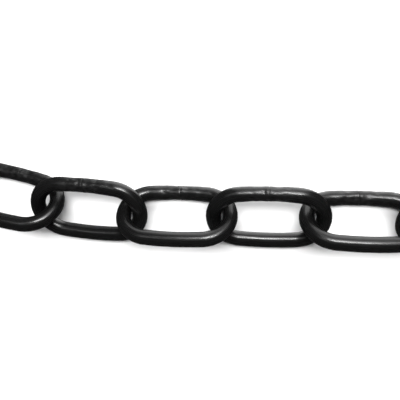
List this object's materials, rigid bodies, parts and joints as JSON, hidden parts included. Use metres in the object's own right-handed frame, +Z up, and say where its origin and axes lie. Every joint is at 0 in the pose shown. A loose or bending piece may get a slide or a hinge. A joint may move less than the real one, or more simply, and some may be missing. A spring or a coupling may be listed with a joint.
{
  "type": "length of anchor chain",
  "caption": "Length of welded long-link anchor chain with glossy black paint, laid loose on the ground, neighbouring links leaning opposite ways.",
  "frame": {"origin": "middle of the footprint, on the ground that the links lie on", "axes": "+X along the chain's straight run, away from its bend; +Y across it, to the side that the bend turns to; +Z up"},
  "size_m": [0.9892, 0.126, 0.0476],
  "materials": {
    "gloss_black_paint": "gloss black paint over welded steel"
  },
  "bodies": {
    "link_01": {"link_01": "gloss_black_paint"},
    "link_02": {"link_02": "gloss_black_paint"},
    "link_03": {"link_03": "gloss_black_paint"},
    "link_04": {"link_04": "gloss_black_paint"},
    "link_05": {"link_05": "gloss_black_paint"},
    "link_06": {"link_06": "gloss_black_paint"},
    "link_07": {"link_07": "gloss_black_paint"},
    "link_08": {"link_08": "gloss_black_paint"},
    "link_09": {"link_09": "gloss_black_paint"},
    "link_10": {"link_10": "gloss_black_paint"},
    "link_11": {"link_11": "gloss_black_paint"},
    "link_12": {"link_12": "gloss_black_paint"}
  },
  "joints": [
    {"name": "link_02_crown_left", "type": "hinge", "parent": "link_02", "child": "link_01", "pos_m": [-0.40858, 0.02397, 0.02137], "axis": [0.178, 0.8029, -0.5689], "range_deg": [-90, 90]},
    {"name": "link_03_crown_left", "type": "hinge", "parent": "link_03", "child": "link_02", "pos_m": [-0.32976, 0.00649, 0.02099], "axis": [-0.1802, -0.8128, -0.5539], "range_deg": [-90, 90]},
    {"name": "link_04_crown_left", "type": "hinge", "parent": "link_04", "child": "link_03", "pos_m": [-0.25087, -0.01099, 0.02099], "axis": [-0.1802, -0.8128, 0.5539], "range_deg": [-90, 90]},
    {"name": "link_05_crown_left", "type": "hinge", "parent": "link_05", "child": "link_04", "pos_m": [-0.17307, -0.02947, 0.02137], "axis": [0.0531, 0.8207, 0.5689], "range_deg": [-90, 90]},
    {"name": "link_06_crown_left", "type": "hinge", "parent": "link_06", "child": "link_05", "pos_m": [-0.09244, -0.0351, 0.02203], "axis": [0.0065, 0.8042, -0.5943], "range_deg": [-90, 90]},
    {"name": "link_07_crown_left", "type": "hinge", "parent": "link_07", "child": "link_06", "pos_m": [-0.01174, -0.03581, 0.02277], "axis": [0, -0.7822, -0.623], "range_deg": [-90, 90]},
    {"name": "link_07_crown_right", "type": "hinge", "parent": "link_07", "child": "link_08", "pos_m": [0.08376, -0.03581, 0.02277], "axis": [0, 0.7822, 0.623], "range_deg": [-90, 90]},
    {"name": "link_08_crown_right", "type": "hinge", "parent": "link_08", "child": "link_09", "pos_m": [0.16453, -0.03581, 0.02339], "axis": [0, -0.7623, 0.6472], "range_deg": [-90, 90]},
    {"name": "link_09_crown_right", "type": "hinge", "parent": "link_09", "child": "link_10", "pos_m": [0.24532, -0.03581, 0.02374], "axis": [0, -0.7505, -0.6608], "range_deg": [-90, 90]},
    {"name": "link_10_crown_right", "type": "hinge", "parent": "link_10", "child": "link_11", "pos_m": [0.32611, -0.03581, 0.02374], "axis": [0, 0.7505, -0.6608], "range_deg": [-90, 90]},
    {"name": "link_11_crown_right", "type": "hinge", "parent": "link_11", "child": "link_12", "pos_m": [0.40691, -0.03581, 0.02339], "axis": [0, 0.7623, 0.6472], "range_deg": [-90, 90]}
  ]
}
